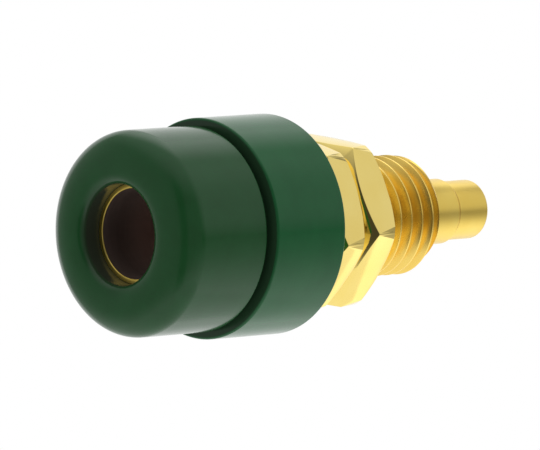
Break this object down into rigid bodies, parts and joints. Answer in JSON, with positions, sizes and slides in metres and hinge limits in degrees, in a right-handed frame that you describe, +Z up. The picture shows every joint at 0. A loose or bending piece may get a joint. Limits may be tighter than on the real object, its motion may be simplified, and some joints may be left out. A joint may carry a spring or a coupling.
{
  "type": "banana socket",
  "caption": "Insulated panel socket for a 4 mm plug: domed round head, threaded gold-plated sleeve with solder pin, insulating bush and two thin hexagon nuts.",
  "frame": {"origin": "centre of the head's flat rear face, on the axis of the plug bore; this face seats on the front of the panel", "axes": "the socket's axis is Y: the mouth faces -Y, towards the user, and the solder pin points to +Y; +Z is up and +X completes the right-handed frame"},
  "size_m": [0.011, 0.0247, 0.0108],
  "materials": {
    "green_insulation": "smooth moulded gloss",
    "gold_plated_brass": "polished gold plating with fine turning marks"
  },
  "bodies": {
    "socket": {"insulating_head": "green_insulation", "contact_sleeve": "gold_plated_brass"},
    "bush": {"insulating_bush": "green_insulation"},
    "front_nut": {"front_nut": "gold_plated_brass"},
    "rear_nut": {"rear_nut": "gold_plated_brass"}
  },
  "joints": [
    {"name": "bush_slide", "type": "slide", "parent": "socket", "child": "bush", "axis": [0, 1, 0], "range_m": [0, 0.003]},
    {"name": "front_nut_turn", "type": "hinge", "parent": "bush", "child": "front_nut", "pos_m": [0, 0.00655, 0], "axis": [0, 1, 0], "range_deg": [0, 1440]},
    {"name": "rear_nut_turn", "type": "hinge", "parent": "bush", "child": "rear_nut", "pos_m": [0, 0.00865, 0], "axis": [0, 1, 0], "range_deg": [0, 1440]}
  ],
  "couplings": [
    {"joint": "front_nut_turn", "follows": "bush_slide", "rad_per_m": 8377.6},
    {"joint": "rear_nut_turn", "follows": "bush_slide", "rad_per_m": 8377.6}
  ]
}
